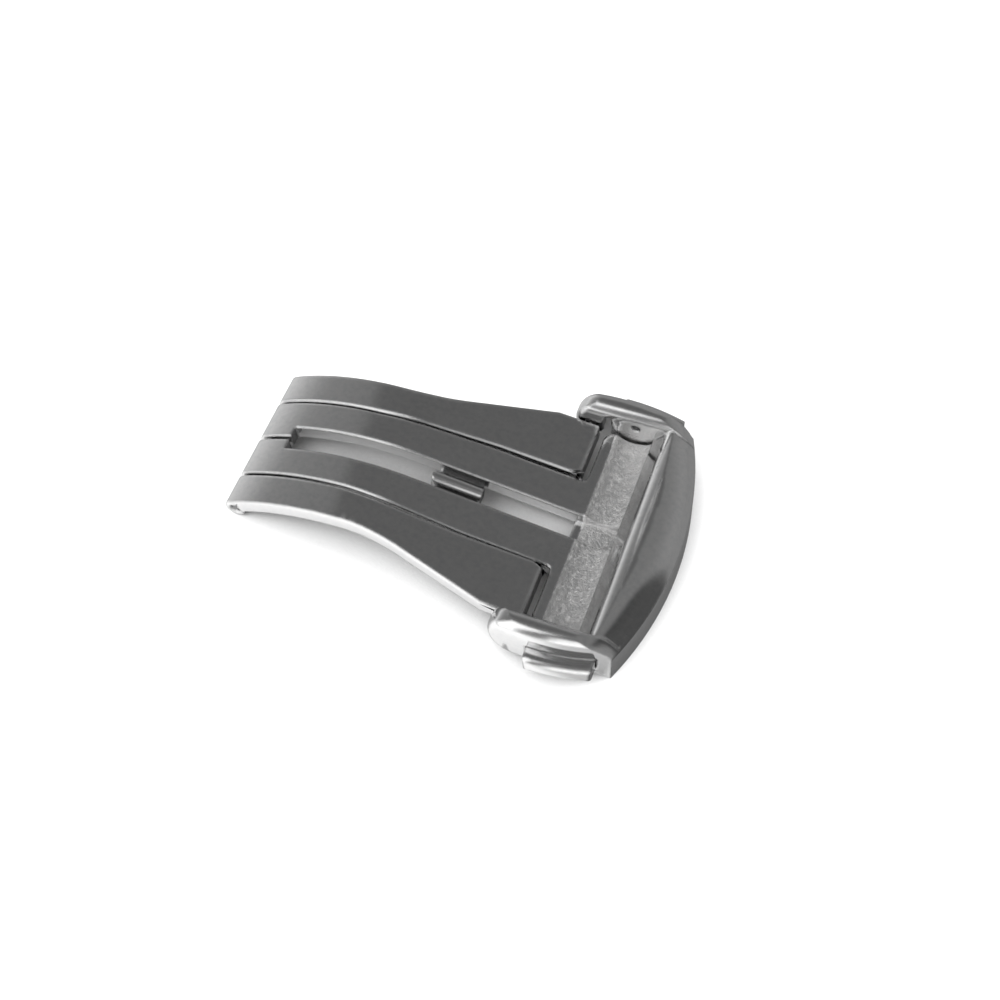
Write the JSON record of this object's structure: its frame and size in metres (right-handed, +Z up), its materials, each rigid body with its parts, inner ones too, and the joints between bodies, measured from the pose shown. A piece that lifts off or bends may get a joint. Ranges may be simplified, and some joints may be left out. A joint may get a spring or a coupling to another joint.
{
  "type": "deployant watch clasp",
  "caption": "Folding metal clasp for a watch strap: bent strips hinged at one end, a framed cover that carries the strap end, and side push buttons that release it.",
  "frame": {"origin": "middle of the closed clasp in plan, on the surface that it rests on", "axes": "+X from the strips' hinge end towards the cover, +Y across the strap, +Z up out of the cover's top"},
  "size_m": [0.0364, 0.0252, 0.0051],
  "materials": {
    "polished_steel": "polished with a soft satin on the flats",
    "brushed_strip": "fine lengthwise brushing",
    "pin_steel": "plain turned",
    "spring_steel": "drawn wire"
  },
  "bodies": {
    "cover": {"cover_frame": "polished_steel", "near_button_spring": "spring_steel", "far_button_spring": "spring_steel"},
    "arms": {"near_arm": "brushed_strip", "far_arm": "brushed_strip", "end_hinge_pin": "pin_steel", "near_tip_pin": "pin_steel", "far_tip_pin": "pin_steel"},
    "blade": {"center_blade": "brushed_strip", "guide_bridge": "brushed_strip"},
    "near_push_button": {"near_button": "polished_steel", "near_latch_hook": "pin_steel"},
    "far_push_button": {"far_button": "polished_steel", "far_latch_hook": "pin_steel"}
  },
  "joints": [
    {"name": "cover_hinge", "type": "hinge", "parent": "cover", "child": "arms", "pos_m": [0.00775, 0, 0.0022], "axis": [0, 1, 0], "range_deg": [0, 60]},
    {"name": "blade_hinge", "type": "hinge", "parent": "arms", "child": "blade", "pos_m": [-0.0173, 0, 0.0009], "axis": [0, 1, 0], "range_deg": [0, 170]},
    {"name": "near_button_push", "type": "slide", "parent": "cover", "child": "near_push_button", "axis": [0, 1, 0], "range_m": [0, 0.0005], "stiffness_N_per_m": 300, "springref_m": -0.0005, "deforming": ["near_button_spring"]},
    {"name": "far_button_push", "type": "slide", "parent": "cover", "child": "far_push_button", "axis": [0, -1, 0], "range_m": [0, 0.0005], "stiffness_N_per_m": 300, "springref_m": -0.0005, "deforming": ["far_button_spring"]}
  ]
}
